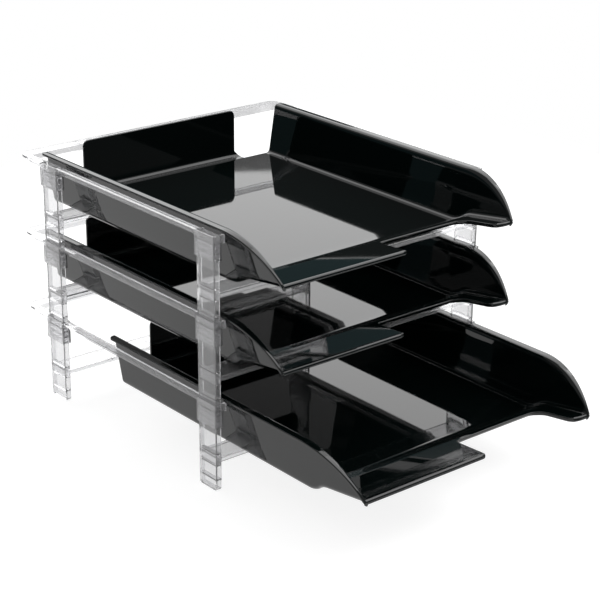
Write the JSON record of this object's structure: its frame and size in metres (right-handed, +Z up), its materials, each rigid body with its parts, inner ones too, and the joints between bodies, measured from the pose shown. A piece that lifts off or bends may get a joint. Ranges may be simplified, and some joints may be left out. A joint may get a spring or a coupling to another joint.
{
  "type": "tiered letter tray",
  "caption": "Stacking desk tray: clear snap-together stands, each with a gloss paper tray that slides out to the front on two crossbars.",
  "frame": {"origin": "on the desk under the middle of the row's box, with the lowest tray 102 mm out", "axes": "+X to the right seen from the front, -Y the front, where the trays slide out, +Z up"},
  "size_m": [0.3008, 0.461, 0.232],
  "materials": {
    "black_plastic": "high-gloss black polystyrene",
    "clear_plastic": "clear polystyrene, slightly gray, glossy"
  },
  "bodies": {
    "stand": {"rim_frame_bottom": "clear_plastic", "post_front_left_bottom": "clear_plastic", "post_front_right_bottom": "clear_plastic", "post_rear_left_bottom": "clear_plastic", "post_rear_right_bottom": "clear_plastic", "crossbar_front_bottom": "clear_plastic", "crossbar_rear_bottom": "clear_plastic", "rim_frame_middle": "clear_plastic", "post_front_left_middle": "clear_plastic", "post_front_right_middle": "clear_plastic", "post_rear_left_middle": "clear_plastic", "post_rear_right_middle": "clear_plastic", "crossbar_front_middle": "clear_plastic", "crossbar_rear_middle": "clear_plastic", "rim_frame_top": "clear_plastic", "post_front_left_top": "clear_plastic", "post_front_right_top": "clear_plastic", "post_rear_left_top": "clear_plastic", "post_rear_right_top": "clear_plastic", "crossbar_front_top": "clear_plastic", "crossbar_rear_top": "clear_plastic"},
    "tray_bottom": {"letter_tray_bottom": "black_plastic"},
    "tray_middle": {"letter_tray_middle": "black_plastic"},
    "tray_top": {"letter_tray_top": "black_plastic"}
  },
  "joints": [
    {"name": "tray_slide_bottom", "type": "slide", "parent": "stand", "child": "tray_bottom", "axis": [0, -1, 0], "range_m": [-0.105, 0.008]},
    {"name": "tray_slide_middle", "type": "slide", "parent": "stand", "child": "tray_middle", "axis": [0, -1, 0], "range_m": [-0.003, 0.11]},
    {"name": "tray_slide_top", "type": "slide", "parent": "stand", "child": "tray_top", "axis": [0, -1, 0], "range_m": [-0.003, 0.11]}
  ]
}
